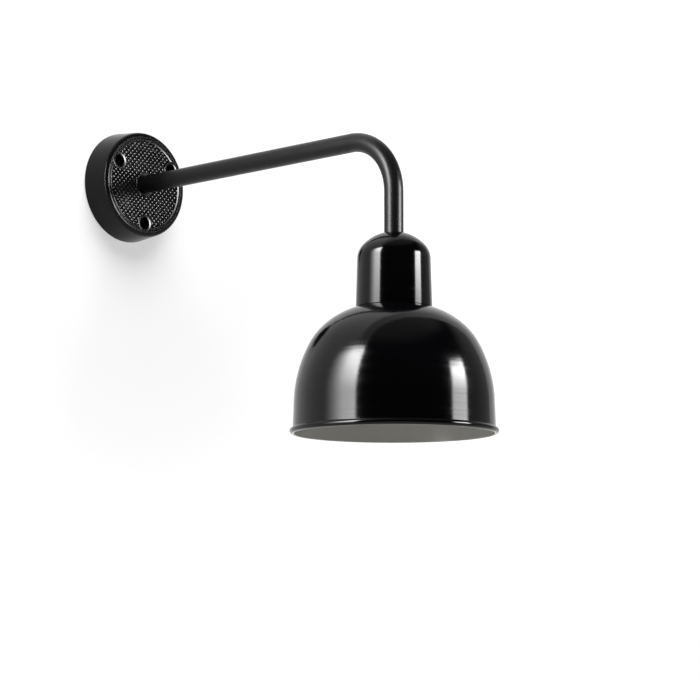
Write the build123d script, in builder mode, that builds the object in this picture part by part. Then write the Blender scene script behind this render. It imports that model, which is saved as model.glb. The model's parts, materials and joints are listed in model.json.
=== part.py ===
"""Hanging pendant wall sconce: a round cast base, a bent tube arm, a cup-shaped neck and an
enamelled bowl shade over one screw-in lamp.

Millimetres, +Z up. The origin is the centre of the base's back face, on the wall plane y = 0.
The arm runs out of the wall along -Y on z = 0 and bends down to the lamp axis at y = -reach.
"""

import os
from math import atan2, cos, degrees, pi, radians, sin, sqrt

from build123d import *

os.makedirs("parts", exist_ok=True)

# ---------------------------------------------------------------- driving dimensions

# Bent arm, from a 3/8 inch pipe size.
tube_d = 17.2
tube_wall = 2.0
reach = 358.0
bend_r = 51.6
arm_drop = 88.6

# Cast wall base: a shallow drum with a stepped face.
base_back_r = 54.2
base_front_r = 51.2
base_depth = 29.0
base_wall = 3.5
base_floor_t = 3.3
rim_round = 4.0
back_edge_chamfer = 0.6
rim_inner_r = 45.8
ring_inner_r = 42.5
rim_step = 0.8
floor_step = 1.2
face_edge_round = 0.35

# Three screw posts with counterbores, and the boss round the arm.
post_count = 3
post_pcd = 77.0
post_first_angle = 30.0
post_r = 8.5
counterbore_r = 5.8
counterbore_depth = 14.0
screw_hole_r = 2.75
rib_w = 5.0
rib_back_gap = 1.2
boss_r = 12.0
hub_r = 14.5
hub_h = 3.7
arm_clearance = 0.05

# Threaded end of the arm and what clamps it in the hub.
arm_thread_d = 16.0
hub_ledge_t = 2.0
lock_washer_r = 14.0
lock_washer_t = 1.2
lock_washer_teeth = 12
lock_washer_notch_w = 2.0
lock_washer_notch_d = 1.5
lock_nut_flats = 22.0
lock_nut_t = 5.0
thread_end_stick_out = 1.5
bushing_flange_t = 1.5
bushing_spigot_l = 6.0
bushing_wall = 1.5
bushing_round = 0.9

# Three-pole terminal block on the base's inner floor.
block_w = 27.0
block_h = 14.0
block_l = 17.0
block_z = 29.5
block_corner = 1.2
block_edge = 0.5
block_valley_w = 1.6
block_valley_d = 1.2
pole_pitch = 9.0
pole_count = 3
insert_r = 2.75
insert_bore_r = 1.6
insert_l = 15.0
insert_height = 6.0
clamp_screw_r = 1.5
clamp_screw_l = 4.2
clamp_screw_spacing = 9.0
clamp_hole_gap = 0.4
clamp_slot_w = 0.6
clamp_slot_d = 0.8
block_screw_r = 1.35
block_screw_head_r = 2.4
block_screw_head_t = 1.6
block_screw_head_sink = 2.4
block_screw_bite = 2.2
block_screw_clearance = 0.15
block_cross_l = 2.8
block_cross_w = 0.7
block_cross_d = 0.9

# Earth stud on a boss of the inner floor.
earth_angle = 215.0
earth_pcr = 30.0
earth_boss_r = 4.5
earth_boss_h = 5.0
earth_screw_r = 2.0
earth_screw_bite = 6.5
earth_head_r = 4.0
earth_head_h = 2.6
earth_head_round = 1.2
earth_cross_l = 4.0
earth_cross_w = 0.9
earth_cross_d = 1.3
earth_washer_t = 0.6
earth_washer_lip = 0.3
lug_t = 0.8
lug_barrel_r = 1.7
lug_barrel_l = 7.0
lug_barrel_gap = 4.6

# Cores that run from the block to the lamp holder.
wire_r = 1.1
wire_gap = 0.4
wire_run_in = 3.5
wire_rise = 5.5
pole_exit = 3.5
wire_loop_dip = 1.0
post_lead = 3.2
lamp_core_bends = [2.8, 3.6, 3.8, bend_r, 3.0, 3.0]
earth_core_exit = 4.0
earth_core_bow = 3.0
earth_core_hook = 6.0
earth_core_bends = [5.0, 12.0, 5.0]

# Hollow threaded joint between the arm, the neck and the lamp holder.
nipple_d = 10.0
nipple_bore_r = 3.25
nipple_grip = 12.0
plug_l = 14.0
neck_washer_r = 8.5
neck_washer_t = 1.0
neck_nut_flats = 14.0
neck_nut_t = 3.0

# Cup-shaped neck, spun from sheet.
neck_sheet = 1.2
neck_seat_r = 9.0
neck_top_r = 37.8
neck_corner_r = 18.0
neck_upper_r = 32.5
neck_lower_r = 33.7
neck_h = 66.6

# Bowl shade, spun from sheet: a sloping shoulder, three tangent arcs and a rolled bead.
shade_sheet = 1.0
shade_hole_clearance = 0.2
shoulder_gap = 0.1
shoulder_slope = 16.7
shoulder_arc_r = 73.8
shoulder_end = 41.4
flank_arc_r = 60.2
flank_end = 62.2
wall_arc_r = 114.8
wall_end = 87.9
shade_h = 108.9
bead_r = 2.6
bead_offset = 0.1

# Lamp holder for a 27 mm Edison screw.
holder_top_r = 8.0
holder_top_h = 5.2
holder_cap_r = 22.5
holder_cap_wall = 2.5
holder_cap_skirt = 10.5
spigot_l = 5.5
holder_core_bore_r = 18.0
core_clearance = 0.1
core_t = 8.5
core_seat_rise = 0.5
core_edge = 0.8
holder_thread_r = 19.5
holder_bore_r = 16.5
holder_thread_l = 12.4
grub_r = 1.5
grub_stick_out = 1.0
grub_slot_w = 0.6
grub_slot_d = 0.8
shell_r = 13.3
shell_t = 0.6
shell_l = 26.0
shell_mouth_r = 9.5
tongue_w = 6.0
tongue_t = 0.5
tongue_drop = 3.3
tongue_tail = 9.0
tongue_knee = 5.0
tongue_tip = 3.0
tongue_heel = 1.0
tongue_lean = 0.2
rivet_r = 1.2
rivet_head_r = 1.8
rivet_head_t = 0.8
live_post_x = -8.0
neutral_post_x = 9.0
live_rivet_x = -7.2
neutral_rivet_x = 11.2
holder_post_w = 7.0
holder_post_d = 7.0
holder_post_h = 6.0
holder_post_edge = 0.4
post_screw_r = 1.5
post_screw_head_r = 2.6
post_screw_head_t = 1.6
post_screw_rise = 0.8
post_slot_w = 0.8
post_slot_d = 0.9
ring_r = 25.5
ring_h = 6.0
ring_round = 1.0
ring_clearance = 0.1
ring_notch_r = 1.4
ring_notches = 16

# Screw-in lamp, 60 mm bulb.
lamp_gap = 0.1
lamp_tip_r = 4.5
lamp_tip_t = 1.2
lamp_tip_round = 0.7
lamp_insulator_t = 3.0
insulator_lip = 1.2
insulator_inset = 1.0
lamp_cap_r = 12.9
lamp_cap_t = 0.4
lamp_cap_l = 21.0
lamp_cap_round = 0.8
lamp_l = 106.0
bulb_r = 30.0
bulb_neck_r = 14.0
bulb_neck_l = 5.0
bulb_glass_t = 1.0

# How near a face or an edge has to be to count as at a place.
place_tol = 0.01

# ---------------------------------------------------------------- places worked out from them

tube_r = tube_d / 2
tube_bore_r = tube_r - tube_wall
arm_thread_r = arm_thread_d / 2
nipple_r = nipple_d / 2

# Along the base's axis, y falls from the wall to the room.
y_rim = -base_depth
y_ring = y_rim + rim_step
y_floor = y_ring + floor_step
y_inner = y_floor + base_floor_t
y_hub = y_inner + hub_h
y_shoulder = y_hub - hub_ledge_t
y_washer = y_hub + lock_washer_t
y_nut = y_washer + lock_nut_t
y_arm_end = y_nut + thread_end_stick_out
y_bushing = y_arm_end + bushing_flange_t
y_block_top = y_inner + block_h
y_pole = y_inner + insert_height
y_earth_seat = y_inner + earth_boss_h
y_lug = y_earth_seat + earth_washer_t
y_earth_head = y_lug + lug_t

# Down the lamp's axis.
z_seat = -arm_drop
z_neck_inside = z_seat - neck_sheet
z_neck_washer = z_neck_inside - neck_washer_t
z_neck_nut = z_neck_washer - neck_nut_t
z_cap_shoulder = z_neck_nut - holder_top_h
z_cap_arc = z_cap_shoulder - (holder_cap_r - holder_top_r)
z_cap_edge = z_cap_arc - holder_cap_skirt
z_spigot = z_cap_edge + spigot_l
z_core_ledge = z_spigot - core_t + core_seat_rise
z_core_top = z_core_ledge + core_t
z_nipple_end = z_cap_shoulder - holder_cap_wall
z_grub = z_neck_nut - holder_top_h / 2
z_post_top = z_core_top + holder_post_h
z_post_screw = z_core_top + holder_post_h / 2 + post_screw_rise
y_post_face = -reach - holder_post_d / 2
z_plate = z_seat - neck_h
z_plate_under = z_plate - shade_sheet
z_ring_end = z_plate_under - ring_h
z_holder_end = z_plate - holder_thread_l
z_shell_end = z_core_ledge - shell_l
z_tongue = z_core_ledge - tongue_drop
z_tip = z_tongue - lamp_gap
z_insulator = z_tip - lamp_tip_t
z_cap_top = z_insulator - lamp_insulator_t
z_cap_end = z_cap_top - lamp_cap_l
z_lamp_end = z_tip - lamp_l
z_bulb = z_lamp_end + bulb_r
z_bead = z_plate - shade_h

wall_axis = Axis((0, 0, 0), (0, -1, 0))
lamp_axis = Axis((0, -reach, 0), (0, 0, 1))
# Sketch planes that hold a radius as x and the axis as y.
base_section = Plane.XY
lamp_section = Plane(origin=(0, -reach, 0), x_dir=(1, 0, 0), z_dir=(0, -1, 0))


def wall_plane(y):
    """A plane across the base's axis at y, with its normal towards the wall."""
    return Plane(origin=(0, y, 0), x_dir=(-1, 0, 0), z_dir=(0, 1, 0))


def room_plane(y):
    """A plane across the base's axis at y, with its normal towards the room."""
    return Plane(origin=(0, y, 0), x_dir=(1, 0, 0), z_dir=(0, -1, 0))


def post_face(y):
    """An upright plane at y by the holder's terminal screws, with its normal to the room."""
    return Plane(origin=(0, y, z_post_screw), x_dir=(1, 0, 0), z_dir=(0, -1, 0))


def lamp_plane(z):
    """A level plane on the lamp's axis at z, with its normal up."""
    return Plane(origin=(0, -reach, z), x_dir=(1, 0, 0), z_dir=(0, 0, 1))


post_spots = [(post_pcd / 2 * cos(radians(post_first_angle + k * 360 / post_count)),
               post_pcd / 2 * sin(radians(post_first_angle + k * 360 / post_count)))
              for k in range(post_count)]
earth_x = earth_pcr * cos(radians(earth_angle))
earth_z = earth_pcr * sin(radians(earth_angle))
pole_xs = [(k - (pole_count - 1) / 2) * pole_pitch for k in range(pole_count)]
clamp_zs = [block_z - clamp_screw_spacing / 2, block_z + clamp_screw_spacing / 2]
block_screw_xs = [-pole_pitch / 2, pole_pitch / 2]


def finish(piece, name):
    """Label a finished piece and write it."""
    piece.part.label = name
    export_step(piece.part, f"parts/{name}.step")


# ---------------------------------------------------------------- wall base

with BuildPart() as wall_base:
    with BuildSketch(base_section):
        Polygon((0, 0), (base_back_r, 0), (base_front_r, y_rim), (0, y_rim), align=None)
    revolve(axis=wall_axis)
    fillet(wall_base.edges().filter_by(GeomType.CIRCLE).group_by(Axis.Y)[0], rim_round)
    chamfer(wall_base.edges().filter_by(GeomType.CIRCLE).group_by(Axis.Y)[-1], back_edge_chamfer)
    draft = (base_back_r - base_front_r) / base_depth
    cavity_front_r = base_back_r - base_wall + draft * y_inner
    with BuildSketch(base_section):
        Polygon((0, 0), (base_back_r - base_wall, 0), (cavity_front_r, y_inner), (0, y_inner),
                align=None)
    revolve(axis=wall_axis, mode=Mode.SUBTRACT)
    # Stepped face: a narrow ring below the rim, then the patterned floor.
    with BuildSketch(room_plane(y_ring)):
        Circle(rim_inner_r)
    extrude(amount=rim_step, mode=Mode.SUBTRACT)
    with BuildSketch(room_plane(y_floor)):
        Circle(ring_inner_r)
    extrude(amount=floor_step, mode=Mode.SUBTRACT)
    # Boss and hub round the arm, screw posts, and the rib that ties each post to the wall.
    with BuildSketch(room_plane(y_inner)):
        Circle(boss_r)
    extrude(amount=y_inner - y_ring)
    with BuildSketch(wall_plane(y_inner)):
        Circle(hub_r)
    extrude(amount=hub_h)
    with BuildSketch(room_plane(0)):
        for x, z in post_spots:
            with Locations((x, z)):
                Circle(post_r)
    extrude(amount=-y_ring)
    with BuildSketch(room_plane(y_inner)):
        with PolarLocations((post_pcd / 2 + base_back_r - base_wall) / 2, post_count,
                            start_angle=post_first_angle):
            Rectangle(base_back_r - base_wall - post_pcd / 2, rib_w)
    extrude(amount=y_inner + rib_back_gap)
    # Earth boss.
    with BuildSketch(room_plane(y_inner)):
        with Locations((earth_x, earth_z)):
            Circle(earth_boss_r)
    extrude(amount=-earth_boss_h)
    # Holes: screws, arm, earth stud and the block's two screws.
    with BuildSketch(room_plane(0)):
        for x, z in post_spots:
            with Locations((x, z)):
                Circle(screw_hole_r)
    extrude(amount=base_depth, mode=Mode.SUBTRACT)
    with BuildSketch(room_plane(y_ring + counterbore_depth)):
        for x, z in post_spots:
            with Locations((x, z)):
                Circle(counterbore_r)
    extrude(amount=counterbore_depth, mode=Mode.SUBTRACT)
    with BuildSketch(room_plane(y_shoulder)):
        Circle(tube_r + arm_clearance)
    extrude(amount=base_depth, mode=Mode.SUBTRACT)
    with BuildSketch(room_plane(y_hub)):
        Circle(arm_thread_r + arm_clearance)
    extrude(amount=hub_ledge_t, mode=Mode.SUBTRACT)
    with BuildSketch(room_plane(y_earth_seat)):
        with Locations((earth_x, earth_z)):
            Circle(earth_screw_r)
    extrude(amount=earth_screw_bite, mode=Mode.SUBTRACT)
    with BuildSketch(room_plane(y_inner)):
        with Locations([(x, block_z) for x in block_screw_xs]):
            Circle(block_screw_r)
    extrude(amount=block_screw_bite, mode=Mode.SUBTRACT)
    # Worn-soft edges of the steps, the boss and the posts.
    face_edges = (wall_base.edges().filter_by(GeomType.CIRCLE)
                  .filter_by_position(Axis.Y, y_rim - place_tol, y_ring + place_tol))
    arm_hole_r = tube_r + arm_clearance
    face_edges = [e for e in face_edges if arm_hole_r + place_tol < e.radius < rim_inner_r + place_tol
                  or abs(e.radius - counterbore_r) < place_tol]
    fillet(face_edges, face_edge_round)
finish(wall_base, "wall_base")

# ---------------------------------------------------------------- arm and its clamping

with BuildPart() as arm_tube:
    with BuildLine() as arm_path:
        FilletPolyline((0, y_shoulder, 0), (0, -reach, 0), (0, -reach, z_seat), radius=bend_r)
    with BuildSketch(room_plane(y_shoulder)):
        Circle(tube_r)
        Circle(tube_bore_r, mode=Mode.SUBTRACT)
    sweep(path=arm_path.line)
    with BuildSketch(room_plane(y_arm_end)):
        Circle(arm_thread_r)
        Circle(tube_bore_r, mode=Mode.SUBTRACT)
    extrude(amount=y_arm_end - y_shoulder)
finish(arm_tube, "arm_tube")

with BuildPart() as arm_lock_washer:
    with BuildSketch(wall_plane(y_hub)):
        Circle(lock_washer_r)
        Circle(arm_thread_r + arm_clearance, mode=Mode.SUBTRACT)
    extrude(amount=lock_washer_t)
    # Toothed rim that bites the hub.
    with BuildSketch(wall_plane(y_hub)):
        with PolarLocations(lock_washer_r, lock_washer_teeth):
            Rectangle(2 * lock_washer_notch_d, lock_washer_notch_w)
    extrude(amount=lock_washer_t, mode=Mode.SUBTRACT)
finish(arm_lock_washer, "arm_lock_washer")

with BuildPart() as arm_lock_nut:
    with BuildSketch(wall_plane(y_washer)):
        RegularPolygon(lock_nut_flats / 2, 6, major_radius=False)
        Circle(arm_thread_r, mode=Mode.SUBTRACT)
    extrude(amount=lock_nut_t)
finish(arm_lock_nut, "arm_lock_nut")

with BuildPart() as arm_end_bushing:
    with BuildSketch(wall_plane(y_arm_end)):
        Circle(arm_thread_r)
    extrude(amount=bushing_flange_t)
    fillet(arm_end_bushing.edges().group_by(Axis.Y)[-1], bushing_round)
    with BuildSketch(room_plane(y_arm_end)):
        Circle(tube_bore_r)
    extrude(amount=bushing_spigot_l)
    with BuildSketch(room_plane(y_bushing)):
        Circle(tube_bore_r - bushing_wall)
    extrude(amount=bushing_flange_t + bushing_spigot_l, mode=Mode.SUBTRACT)
finish(arm_end_bushing, "arm_end_bushing")

# ---------------------------------------------------------------- terminal block and earth

with BuildPart() as terminal_block:
    with BuildSketch(wall_plane(y_inner)):
        with Locations((0, block_z)):
            RectangleRounded(block_w, block_l, block_corner)
    extrude(amount=block_h)
    chamfer(terminal_block.edges().group_by(Axis.Y)[-1], block_edge)
    # Valleys between the poles.
    with BuildSketch(wall_plane(y_block_top)):
        with Locations([(x, block_z) for x in block_screw_xs]):
            Rectangle(block_valley_w, block_l)
    extrude(amount=-block_valley_d, mode=Mode.SUBTRACT)
    with BuildSketch(Plane.XY.offset(block_z - block_l / 2)):
        with Locations([(x, y_pole) for x in pole_xs]):
            Circle(insert_r)
    extrude(amount=block_l, mode=Mode.SUBTRACT)
    with BuildSketch(wall_plane(y_pole)):
        with Locations([(x, z) for x in pole_xs for z in clamp_zs]):
            Circle(clamp_screw_r + clamp_hole_gap)
    extrude(amount=block_h, mode=Mode.SUBTRACT)
    with BuildSketch(wall_plane(y_inner)):
        with Locations([(x, block_z) for x in block_screw_xs]):
            Circle(block_screw_r + block_screw_clearance)
    extrude(amount=block_h, mode=Mode.SUBTRACT)
    with BuildSketch(wall_plane(y_block_top)):
        with Locations([(x, block_z) for x in block_screw_xs]):
            Circle(block_screw_head_r + block_screw_clearance)
    extrude(amount=-block_screw_head_sink - block_screw_head_t, mode=Mode.SUBTRACT)
finish(terminal_block, "terminal_block")

with BuildPart() as terminal_inserts:
    with BuildSketch(Plane.XY.offset(block_z - insert_l / 2)):
        with Locations([(x, y_pole) for x in pole_xs]):
            Circle(insert_r)
            Circle(insert_bore_r, mode=Mode.SUBTRACT)
    extrude(amount=insert_l)
    with BuildSketch(wall_plane(y_pole)):
        with Locations([(x, z) for x in pole_xs for z in clamp_zs]):
            Circle(clamp_screw_r)
    extrude(amount=insert_r, mode=Mode.SUBTRACT)
finish(terminal_inserts, "terminal_inserts")

with BuildPart() as terminal_clamp_screws:
    with BuildSketch(wall_plane(y_pole + wire_r)):
        with Locations([(x, z) for x in pole_xs for z in clamp_zs]):
            Circle(clamp_screw_r)
    extrude(amount=clamp_screw_l)
    with BuildSketch(wall_plane(y_pole + wire_r + clamp_screw_l)):
        with Locations([(x, z) for x in pole_xs for z in clamp_zs]):
            Rectangle(2 * clamp_screw_r, clamp_slot_w)
    extrude(amount=-clamp_slot_d, mode=Mode.SUBTRACT)
finish(terminal_clamp_screws, "terminal_clamp_screws")

with BuildPart() as terminal_fixing_screws:
    y_head = y_block_top - block_screw_head_sink
    with BuildSketch(wall_plane(y_inner - block_screw_bite)):
        with Locations([(x, block_z) for x in block_screw_xs]):
            Circle(block_screw_r)
    extrude(amount=y_head - y_inner + block_screw_bite)
    with BuildSketch(wall_plane(y_head)):
        with Locations([(x, block_z) for x in block_screw_xs]):
            Circle(block_screw_head_r)
    extrude(amount=-block_screw_head_t)
    with BuildSketch(wall_plane(y_head)):
        with Locations([(x, block_z) for x in block_screw_xs]):
            Rectangle(block_cross_l, block_cross_w)
            Rectangle(block_cross_w, block_cross_l)
    extrude(amount=-block_cross_d, mode=Mode.SUBTRACT)
finish(terminal_fixing_screws, "terminal_fixing_screws")

with BuildPart() as earth_cup_washer:
    with BuildSketch(room_plane(y_earth_seat)):
        with Locations((earth_x, earth_z)):
            Circle(earth_head_r + earth_washer_lip)
            Circle(earth_screw_r, mode=Mode.SUBTRACT)
    extrude(amount=-earth_washer_t)
finish(earth_cup_washer, "earth_cup_washer")

with BuildPart() as earth_ring_lug:
    with BuildSketch(room_plane(y_lug)):
        with Locations((earth_x, earth_z)):
            Circle(earth_head_r)
        with Locations((earth_x, earth_z + lug_barrel_gap)):
            Rectangle(2 * lug_barrel_r, 2 * lug_barrel_gap - 2 * lug_barrel_r)
        with Locations((earth_x, earth_z)):
            Circle(earth_screw_r, mode=Mode.SUBTRACT)
    extrude(amount=-lug_t)
    with BuildSketch(Plane.XY.offset(earth_z + lug_barrel_gap)):
        with Locations((earth_x, y_lug + lug_barrel_r)):
            Circle(lug_barrel_r)
    extrude(amount=lug_barrel_l)
    with BuildSketch(Plane.XY.offset(earth_z + lug_barrel_gap + lug_barrel_l / 3)):
        with Locations((earth_x, y_lug + lug_barrel_r)):
            Circle(wire_r)
    extrude(amount=lug_barrel_l, mode=Mode.SUBTRACT)
finish(earth_ring_lug, "earth_ring_lug")

with BuildPart() as earth_screw:
    with BuildSketch(room_plane(y_earth_head)):
        with Locations((earth_x, earth_z)):
            Circle(earth_screw_r)
    extrude(amount=earth_screw_bite - (y_earth_seat - y_earth_head))
    with BuildSketch(room_plane(y_earth_head)):
        with Locations((earth_x, earth_z)):
            Circle(earth_head_r)
    extrude(amount=-earth_head_h)
    fillet(earth_screw.edges().group_by(Axis.Y)[-1], earth_head_round)
    with BuildSketch(room_plane(y_earth_head + earth_head_h)):
        with Locations((earth_x, earth_z)):
            Rectangle(earth_cross_l, earth_cross_w)
            Rectangle(earth_cross_w, earth_cross_l)
    extrude(amount=earth_cross_d, mode=Mode.SUBTRACT)
finish(earth_screw, "earth_screw")

# ---------------------------------------------------------------- wiring

wire_x = wire_r + wire_gap / 2
block_low = block_z - block_l / 2
block_mid = block_z - insert_l / 4
y_wire_loop = y_bushing + wire_rise
y_in_arm = y_bushing - wire_run_in
z_spread = z_nipple_end - wire_run_in


def core(points, radii):
    """A round core along straight runs joined by arcs; prints its length and checks its volume."""
    with BuildPart() as wire:
        with BuildLine() as route:
            FilletPolyline(*points, radius=radii)
        path = route.wires()[0]
        with BuildSketch(Plane(origin=path @ 0, z_dir=path % 0)):
            Circle(wire_r)
        sweep(path=path)
    volume_ratio = wire.part.volume / (path.length * pi * wire_r ** 2)
    print("core", round(path.length, 1), "mm, volume ratio", round(volume_ratio, 4))
    return wire


def lamp_core(pole_x, side, post_x):
    """One of the two cores from a pole of the block, through the arm, to a holder post."""
    x = side * wire_x
    points = [(pole_x, y_pole, block_mid),
              (pole_x, y_pole, block_low - pole_exit),
              ((pole_x + x) / 2, y_wire_loop - wire_loop_dip, block_low / 2),
              (x, y_wire_loop, 0),
              (x, -reach, 0),
              (x, -reach, z_spread),
              (post_x, -reach, z_post_top + post_lead),
              (post_x, -reach, z_post_top - holder_post_h / 2)]
    return core(points, lamp_core_bends)


wire_live = lamp_core(pole_xs[1], -1, live_post_x)
finish(wire_live, "wire_live")
wire_neutral = lamp_core(pole_xs[2], 1, neutral_post_x)
finish(wire_neutral, "wire_neutral")

y_barrel = y_lug + lug_barrel_r
z_barrel_end = earth_z + lug_barrel_gap + lug_barrel_l
wire_earth = core([(pole_xs[0], y_pole, block_mid),
                   (pole_xs[0], y_pole, block_low - earth_core_exit),
                   ((pole_xs[0] + earth_x) / 2 - earth_core_bow, (y_pole + y_barrel) / 2, block_low / 2),
                   (earth_x, y_barrel, z_barrel_end + earth_core_hook),
                   (earth_x, y_barrel, z_barrel_end - lug_barrel_l * 2 / 3)],
                  earth_core_bends)
finish(wire_earth, "wire_earth")

# ---------------------------------------------------------------- joint of arm, neck and holder

with BuildPart() as arm_end_plug:
    with BuildSketch(lamp_plane(z_seat)):
        Circle(tube_bore_r)
        Circle(nipple_r, mode=Mode.SUBTRACT)
    extrude(amount=plug_l)
finish(arm_end_plug, "arm_end_plug")

with BuildPart() as hollow_nipple:
    with BuildSketch(lamp_plane(z_nipple_end)):
        Circle(nipple_r)
        Circle(nipple_bore_r, mode=Mode.SUBTRACT)
    extrude(amount=z_seat + nipple_grip - z_nipple_end)
finish(hollow_nipple, "hollow_nipple")

with BuildPart() as neck_washer:
    with BuildSketch(lamp_plane(z_neck_washer)):
        Circle(neck_washer_r)
        Circle(nipple_r, mode=Mode.SUBTRACT)
    extrude(amount=neck_washer_t)
finish(neck_washer, "neck_washer")

with BuildPart() as neck_nut:
    with BuildSketch(lamp_plane(z_neck_nut)):
        RegularPolygon(neck_nut_flats / 2, 6, major_radius=False)
        Circle(nipple_r, mode=Mode.SUBTRACT)
    extrude(amount=neck_nut_t)
finish(neck_nut, "neck_nut")


def neck_outline(inset):
    """Lines of the neck's half section, filled to the axis, this far inside its outer face."""
    top_r = neck_top_r - inset
    corner_r = neck_corner_r - inset
    seat_z = z_seat - inset
    top_centre_z = z_seat - sqrt(neck_top_r ** 2 - neck_seat_r ** 2)
    corner_x = neck_upper_r - neck_corner_r
    corner_z = top_centre_z + sqrt((neck_top_r - neck_corner_r) ** 2 - corner_x ** 2)
    seat_r = sqrt(top_r ** 2 - (seat_z - top_centre_z) ** 2)
    seat_angle = degrees(atan2(seat_z - top_centre_z, seat_r))
    join_angle = degrees(atan2(corner_z - top_centre_z, corner_x))
    side_angle = degrees(atan2(neck_lower_r - neck_upper_r, corner_z - z_plate))
    Line((0, seat_z), (seat_r, seat_z))
    CenterArc((0, top_centre_z), top_r, seat_angle, join_angle - seat_angle)
    corner = CenterArc((corner_x, corner_z), corner_r, join_angle, side_angle - join_angle)
    Polyline(corner @ 1, (neck_lower_r - inset, z_plate), (0, z_plate), (0, seat_z))


with BuildPart() as neck_cap:
    with BuildSketch(lamp_section):
        with BuildLine():
            neck_outline(0)
        make_face()
    revolve(axis=lamp_axis)
    with BuildSketch(lamp_section):
        with BuildLine():
            neck_outline(neck_sheet)
        make_face()
    revolve(axis=lamp_axis, mode=Mode.SUBTRACT)
    with BuildSketch(lamp_plane(z_neck_inside)):
        Circle(nipple_r)
    extrude(amount=neck_sheet, mode=Mode.SUBTRACT)
finish(neck_cap, "neck_cap")

# ---------------------------------------------------------------- bowl shade

shade_hole_r = holder_thread_r + shade_hole_clearance
shoulder_r = neck_lower_r + shoulder_gap


def bowl_side(inset):
    """The bowl's sloping side from the flat top to the bead, this far inside its outer face."""
    slope = radians(shoulder_slope)
    start = (shoulder_r - inset * sin(slope), z_plate - inset * cos(slope))
    shoulder = JernArc(start, (cos(slope), -sin(slope)), shoulder_arc_r - inset,
                       shoulder_slope - shoulder_end)
    flank = JernArc(shoulder @ 1, shoulder % 1, flank_arc_r - inset, shoulder_end - flank_end)
    wall = JernArc(flank @ 1, flank % 1, wall_arc_r - inset, flank_end - wall_end)
    run_out = ((wall @ 1).Y - z_bead) / sin(radians(wall_end))
    rim = Line(wall @ 1, wall @ 1 + (wall % 1) * run_out)
    return shoulder @ 0, rim @ 1


with BuildPart() as shade_bowl:
    with BuildSketch(lamp_section):
        with BuildLine():
            outer_top, outer_rim = bowl_side(0)
            inner_top, inner_rim = bowl_side(shade_sheet)
            Line(outer_rim, inner_rim)
            Polyline(outer_top, (shade_hole_r, z_plate), (shade_hole_r, z_plate_under),
                     (inner_top.X, z_plate_under), inner_top)
        make_face()
        with Locations((outer_rim.X + bead_offset, z_bead)):
            Circle(bead_r)
    revolve(axis=lamp_axis)
print("rim radius over the wall", round(outer_rim.X, 2), "over the bead",
      round(outer_rim.X + bead_offset + bead_r, 2))
finish(shade_bowl, "shade_bowl")

with BuildPart() as shade_ring:
    with BuildSketch(lamp_plane(z_ring_end)):
        Circle(ring_r)
        Circle(holder_thread_r + ring_clearance, mode=Mode.SUBTRACT)
    extrude(amount=ring_h)
    fillet(shade_ring.edges().filter_by(GeomType.CIRCLE).group_by(Axis.Z)[0].sort_by(SortBy.RADIUS)[-1],
           ring_round)
    with BuildSketch(lamp_plane(z_ring_end)):
        with PolarLocations(ring_r, ring_notches):
            Circle(ring_notch_r)
    extrude(amount=ring_h, mode=Mode.SUBTRACT)
finish(shade_ring, "shade_ring")

# ---------------------------------------------------------------- lamp holder

with BuildPart() as holder_cap:
    arc_r = holder_cap_r - holder_top_r
    inner_r = holder_cap_r - holder_cap_wall
    with BuildSketch(lamp_section):
        with BuildLine():
            Polyline((nipple_r, z_nipple_end), (nipple_r, z_neck_nut), (holder_top_r, z_neck_nut),
                     (holder_top_r, z_cap_shoulder))
            CenterArc((holder_top_r, z_cap_arc), arc_r, 90, -90)
            Polyline((holder_cap_r, z_cap_arc), (holder_cap_r, z_cap_edge), (inner_r, z_cap_edge),
                     (inner_r, z_cap_arc))
            CenterArc((holder_top_r, z_cap_arc), arc_r - holder_cap_wall, 0, 90)
            Line((holder_top_r, z_nipple_end), (nipple_r, z_nipple_end))
        make_face()
    revolve(axis=lamp_axis)
    with BuildSketch(Plane(origin=(0, -reach, z_grub), z_dir=(1, 0, 0))):
        Circle(grub_r)
    extrude(amount=holder_top_r + grub_r, mode=Mode.SUBTRACT)
finish(holder_cap, "holder_cap")

with BuildPart() as holder_grub_screw:
    with BuildSketch(Plane(origin=(nipple_r, -reach, z_grub), z_dir=(1, 0, 0))):
        Circle(grub_r)
    extrude(amount=holder_top_r - nipple_r + grub_stick_out)
    with BuildSketch(Plane(origin=(holder_top_r + grub_stick_out, -reach, z_grub), z_dir=(-1, 0, 0))):
        Rectangle(grub_slot_w, 2 * grub_r)
    extrude(amount=grub_slot_d, mode=Mode.SUBTRACT)
finish(holder_grub_screw, "holder_grub_screw")

with BuildPart() as holder_body:
    with BuildSketch(lamp_section):
        Polygon((holder_core_bore_r, z_spigot), (holder_cap_r - holder_cap_wall, z_spigot),
                (holder_cap_r - holder_cap_wall, z_cap_edge), (holder_cap_r, z_cap_edge),
                (holder_cap_r, z_plate), (holder_thread_r, z_plate), (holder_thread_r, z_holder_end),
                (holder_bore_r, z_holder_end), (holder_bore_r, z_core_ledge),
                (holder_core_bore_r, z_core_ledge), align=None)
    revolve(axis=lamp_axis)
finish(holder_body, "holder_body")

with BuildPart() as holder_core:
    with BuildSketch(lamp_plane(z_core_ledge)):
        Circle(holder_core_bore_r - core_clearance)
    extrude(amount=core_t)
    chamfer(holder_core.edges().group_by(Axis.Z)[-1], core_edge)
    with BuildSketch(lamp_plane(z_core_ledge)):
        with Locations((live_rivet_x, 0), (neutral_rivet_x, 0)):
            Circle(rivet_r)
    extrude(amount=core_t, mode=Mode.SUBTRACT)
finish(holder_core, "holder_core")

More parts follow.
